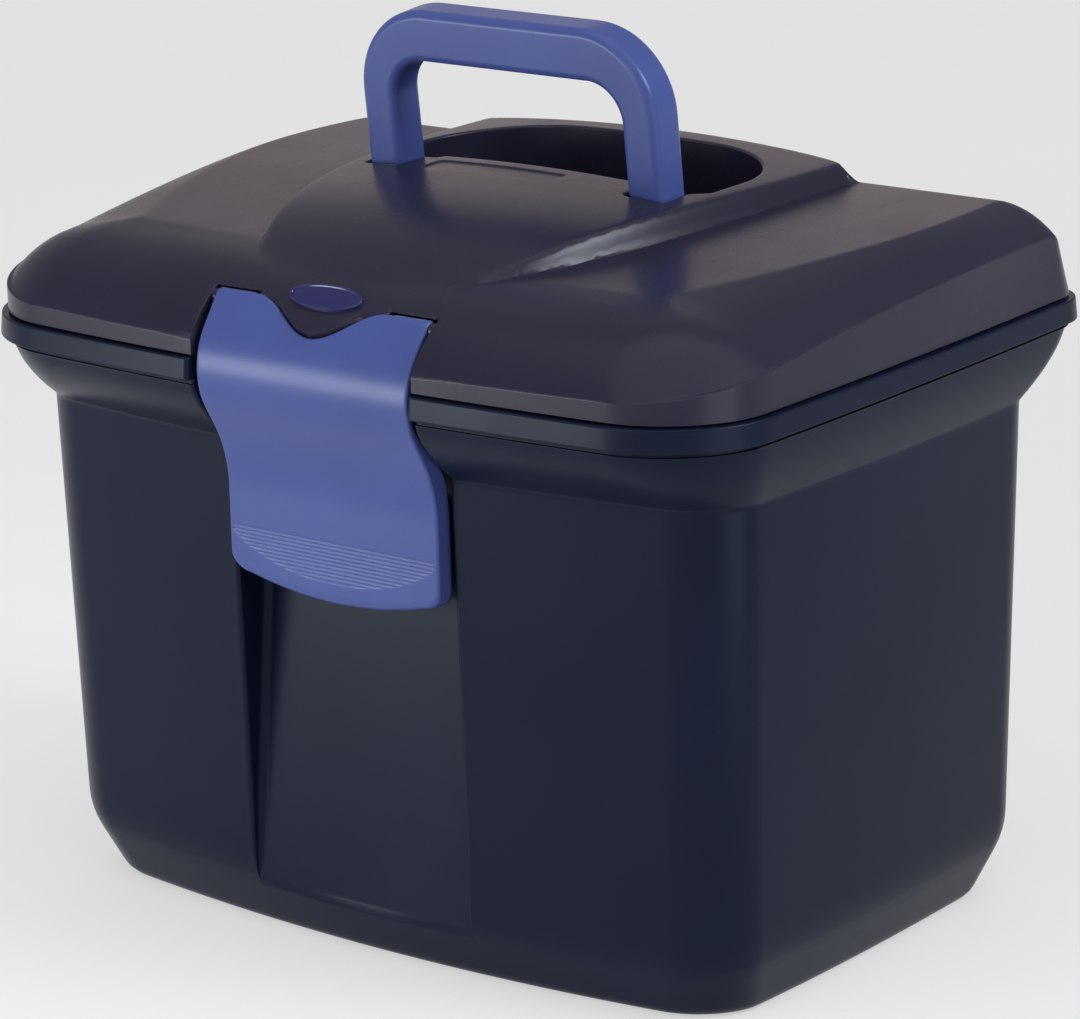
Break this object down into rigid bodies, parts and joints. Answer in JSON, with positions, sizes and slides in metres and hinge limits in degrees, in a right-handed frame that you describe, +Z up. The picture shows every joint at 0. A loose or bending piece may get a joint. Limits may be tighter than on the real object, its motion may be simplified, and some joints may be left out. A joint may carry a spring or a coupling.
{
  "type": "horse grooming box",
  "caption": "Bowed plastic grooming box with a hinged domed lid, a fold-down carrying handle in a well, a front pull latch and a lift-out compartment tray.",
  "frame": {"origin": "on the floor plane, on the tub's flat base, under the middle of the lid's crown and handle", "axes": "+X to the box's own left-right, to the right seen from the front; -Y towards the front latch; +Z up"},
  "size_m": [0.4, 0.3051, 0.3836],
  "materials": {
    "body_plastic": "fine satin moulding grain",
    "lid_plastic": "fine satin moulding grain",
    "accent_plastic": "satin blue-violet moulding",
    "badge_plastic": "smooth, plain",
    "tray_plastic": "satin moulding",
    "pin_steel": "plain drawn wire"
  },
  "bodies": {
    "tub": {"tub": "body_plastic", "hinge_pin_left": "pin_steel", "hinge_pin_right": "pin_steel"},
    "lid": {"lid": "lid_plastic", "badge": "badge_plastic", "handle_pin_left": "pin_steel", "handle_pin_right": "pin_steel", "latch_pin_left": "pin_steel", "latch_pin_right": "pin_steel"},
    "handle": {"handle": "accent_plastic"},
    "latch": {"latch": "accent_plastic"},
    "tray": {"tray": "tray_plastic"}
  },
  "joints": [
    {"name": "lid_hinge", "type": "hinge", "parent": "tub", "child": "lid", "pos_m": [0, 0.15, 0.262], "axis": [-1, 0, 0], "range_deg": [0, 105]},
    {"name": "latch_pivot", "type": "hinge", "parent": "lid", "child": "latch", "pos_m": [0, -0.1284, 0.2805], "axis": [-1, 0, 0], "range_deg": [0, 75]},
    {"name": "handle_pivot", "type": "hinge", "parent": "lid", "child": "handle", "pos_m": [0, 0.0045, 0.3045], "axis": [-1, 0, 0], "range_deg": [0, 102]},
    {"name": "tray_lift", "type": "slide", "parent": "tub", "child": "tray", "axis": [0, 0, 1], "range_m": [0, 0.028]}
  ]
}
